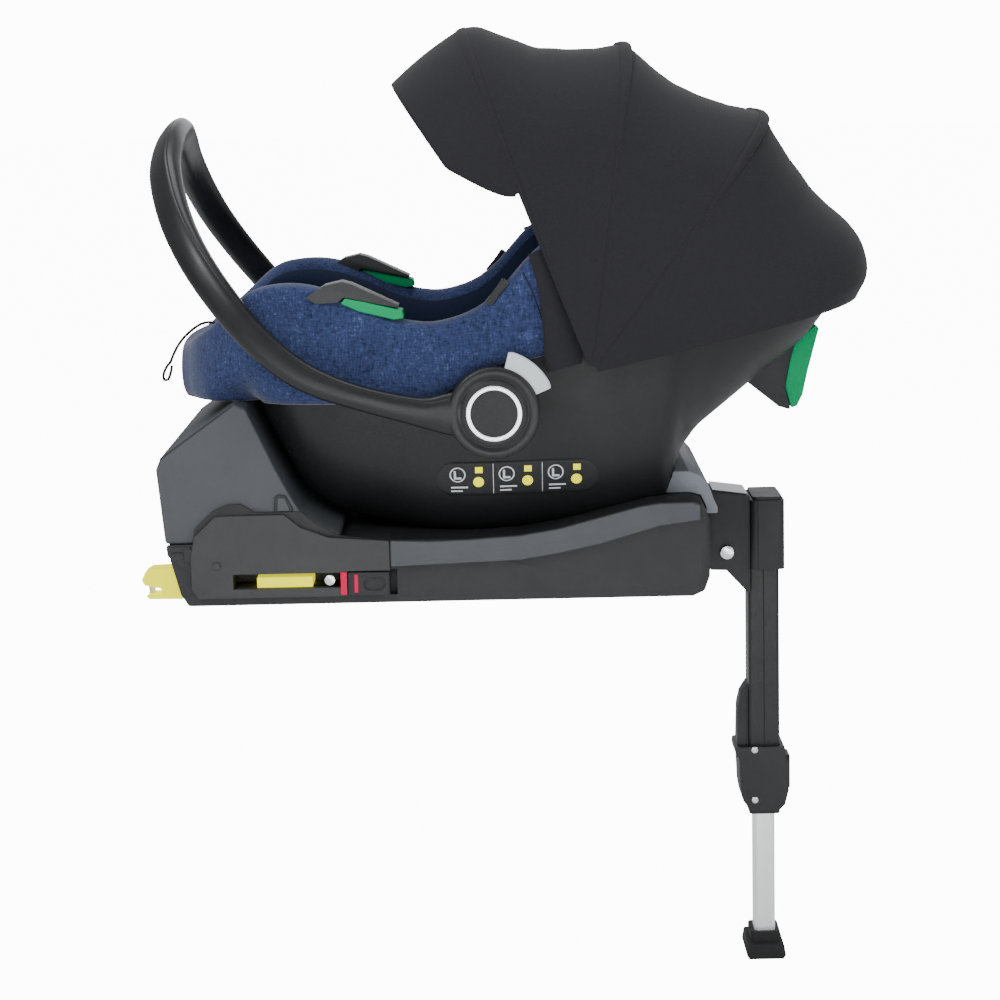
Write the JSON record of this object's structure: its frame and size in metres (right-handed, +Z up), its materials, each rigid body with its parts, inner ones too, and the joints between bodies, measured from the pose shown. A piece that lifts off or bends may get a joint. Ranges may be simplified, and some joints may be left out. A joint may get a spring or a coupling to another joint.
{
  "type": "infant car seat",
  "caption": "Rear-facing infant carrier with carry handle and folding canopy, on an anchor-bar base with a folding support leg.",
  "frame": {"origin": "midpoint between the two anchor bars that the base's connectors close on", "axes": "+X from the anchor bars towards the support leg, +Y across the car, +Z up"},
  "size_m": [0.6995, 0.452, 0.9411],
  "materials": {
    "base_black": "fine texture",
    "base_grey": "satin",
    "shell_black": "fine texture",
    "handle_grey": "satin",
    "button_grey": "satin",
    "yellow_plastic": "satin",
    "red_plastic": "satin",
    "green_plastic": "satin",
    "guide_grey": "satin",
    "steel": "brushed",
    "chrome": "polished",
    "leg_paint": "powder coat",
    "aluminium": "satin",
    "foot_rubber": "matte",
    "cover_fabric": "melange",
    "liner_fabric": "smooth",
    "canopy_fabric": "matte",
    "webbing": "woven"
  },
  "bodies": {
    "base": {"base_lower": "base_black", "base_end": "base_grey", "side_cover_left": "base_grey", "side_cover_right": "base_grey", "side_strip_left": "base_grey", "side_strip_right": "base_grey", "base_front": "base_grey", "leg_tongue": "steel", "leg_pivot_pin": "chrome", "screws": "steel"},
    "connector_left": {"isofix_arm_left": "yellow_plastic"},
    "connector_right": {"isofix_arm_right": "yellow_plastic"},
    "hook_left": {"isofix_hook_left": "steel"},
    "hook_right": {"isofix_hook_right": "steel"},
    "release_left": {"isofix_release_left": "base_black"},
    "release_right": {"isofix_release_right": "base_black"},
    "seat_release": {"seat_release_button": "red_plastic"},
    "leg_upper": {"leg_ears": "leg_paint", "leg_cap": "base_black", "leg_tube": "leg_paint", "leg_clamp": "base_black"},
    "leg_adjuster": {"leg_button": "base_black"},
    "leg_lower": {"leg_inner_tube": "aluminium", "leg_foot": "foot_rubber"},
    "carrier": {"shell": "shell_black", "seat_liner": "liner_fabric", "seat_side_left": "liner_fabric", "seat_side_right": "liner_fabric", "cover": "cover_fabric", "seat_pad": "liner_fabric", "pivot_bosses": "shell_black", "belt_guide_left": "guide_grey", "belt_guide_right": "guide_grey", "belt_insert_left": "green_plastic", "belt_insert_right": "green_plastic", "rear_guide": "guide_grey", "rear_insert": "green_plastic", "harness_left": "webbing", "harness_right": "webbing", "crotch_strap": "webbing", "buckle": "guide_grey", "adjuster": "guide_grey", "pull_strap": "webbing", "canopy_panel_rear": "canopy_fabric"},
    "head_support": {"headrest": "liner_fabric"},
    "buckle_release": {"buckle_button": "red_plastic"},
    "harness_release": {"adjuster_button": "base_grey"},
    "carry_handle": {"handle": "handle_grey", "hub_cap_left": "handle_grey", "hub_cap_right": "handle_grey", "hub_ring_left": "chrome", "hub_ring_right": "chrome"},
    "handle_release_left": {"handle_button_left": "button_grey"},
    "handle_release_right": {"handle_button_right": "button_grey"},
    "canopy_rear": {"canopy_bow_rear": "canopy_fabric", "canopy_panel_middle": "canopy_fabric"},
    "canopy_middle": {"canopy_bow_middle": "canopy_fabric", "canopy_panel_front": "canopy_fabric"},
    "canopy_front": {"canopy_bow_front": "canopy_fabric", "canopy_visor": "canopy_fabric", "canopy_skirt": "canopy_fabric"}
  },
  "joints": [
    {"name": "connector_slide_left", "type": "slide", "parent": "base", "child": "connector_left", "axis": [-1, 0, 0], "range_m": [-0.01, 0.02]},
    {"name": "connector_slide_right", "type": "slide", "parent": "base", "child": "connector_right", "axis": [-1, 0, 0], "range_m": [-0.01, 0.02]},
    {"name": "hook_turn_left", "type": "hinge", "parent": "connector_left", "child": "hook_left", "pos_m": [0.016, -0.14, 0.0115], "axis": [0, 1, 0], "range_deg": [0, 28]},
    {"name": "hook_turn_right", "type": "hinge", "parent": "connector_right", "child": "hook_right", "pos_m": [0.016, 0.14, 0.0115], "axis": [0, 1, 0], "range_deg": [0, 28]},
    {"name": "release_slide_left", "type": "slide", "parent": "base", "child": "release_left", "axis": [1, 0, 0], "range_m": [0, 0.006], "stiffness_N_per_m": 400},
    {"name": "release_slide_right", "type": "slide", "parent": "base", "child": "release_right", "axis": [1, 0, 0], "range_m": [0, 0.006], "stiffness_N_per_m": 400},
    {"name": "seat_release_press", "type": "slide", "parent": "base", "child": "seat_release", "axis": [-1, 0, 0], "range_m": [0, 0.004], "stiffness_N_per_m": 500},
    {"name": "leg_fold", "type": "hinge", "parent": "base", "child": "leg_upper", "pos_m": [0.5497, 0, 0.004], "axis": [0, 1, 0], "range_deg": [0, 90]},
    {"name": "leg_button_press", "type": "slide", "parent": "leg_upper", "child": "leg_adjuster", "axis": [-1, 0, 0], "range_m": [0, 0.0035], "stiffness_N_per_m": 500},
    {"name": "leg_extend", "type": "slide", "parent": "leg_upper", "child": "leg_lower", "axis": [0, 0, -1], "range_m": [-0.12, 0.1]},
    {"name": "carrier_lift", "type": "slide", "parent": "base", "child": "carrier", "axis": [0, 0, 1], "range_m": [0, 0.3]},
    {"name": "headrest_slide", "type": "slide", "parent": "carrier", "child": "head_support", "axis": [0.7694, 0, 0.6387], "range_m": [0, 0.045]},
    {"name": "buckle_press", "type": "slide", "parent": "carrier", "child": "buckle_release", "axis": [0.1392, 0, -0.9903], "range_m": [0, 0.003], "stiffness_N_per_m": 500},
    {"name": "adjuster_press", "type": "slide", "parent": "carrier", "child": "harness_release", "axis": [0, 0, -1], "range_m": [0, 0.003], "stiffness_N_per_m": 500},
    {"name": "handle_turn", "type": "hinge", "parent": "carrier", "child": "carry_handle", "pos_m": [0.322, 0, 0.1725], "axis": [0, 1, 0], "range_deg": [-18, 50]},
    {"name": "handle_press_left", "type": "slide", "parent": "carry_handle", "child": "handle_release_left", "axis": [-0.6561, 0, -0.7547], "range_m": [0, 0.004], "stiffness_N_per_m": 600},
    {"name": "handle_press_right", "type": "slide", "parent": "carry_handle", "child": "handle_release_right", "axis": [-0.6561, 0, -0.7547], "range_m": [0, 0.004], "stiffness_N_per_m": 600},
    {"name": "canopy_fold_rear", "type": "hinge", "parent": "carrier", "child": "canopy_rear", "pos_m": [0.412, 0, 0.205], "axis": [0, 1, 0], "range_deg": [0, 24], "deforming": ["canopy_panel_rear", "canopy_panel_middle"]},
    {"name": "canopy_fold_middle", "type": "hinge", "parent": "canopy_rear", "child": "canopy_middle", "pos_m": [0.412, 0, 0.205], "axis": [0, 1, 0], "range_deg": [0, 24], "deforming": ["canopy_panel_front"]},
    {"name": "canopy_fold_front", "type": "hinge", "parent": "canopy_middle", "child": "canopy_front", "pos_m": [0.412, 0, 0.205], "axis": [0, 1, 0], "range_deg": [0, 22]}
  ],
  "couplings": [
    {"joint": "hook_turn_left", "follows": "release_slide_left", "rad_per_m": 81.4},
    {"joint": "hook_turn_right", "follows": "release_slide_right", "rad_per_m": 81.4},
    {"joint": "canopy_fold_middle", "follows": "canopy_fold_rear", "ratio": 1},
    {"joint": "canopy_fold_front", "follows": "canopy_fold_rear", "ratio": 0.9}
  ]
}
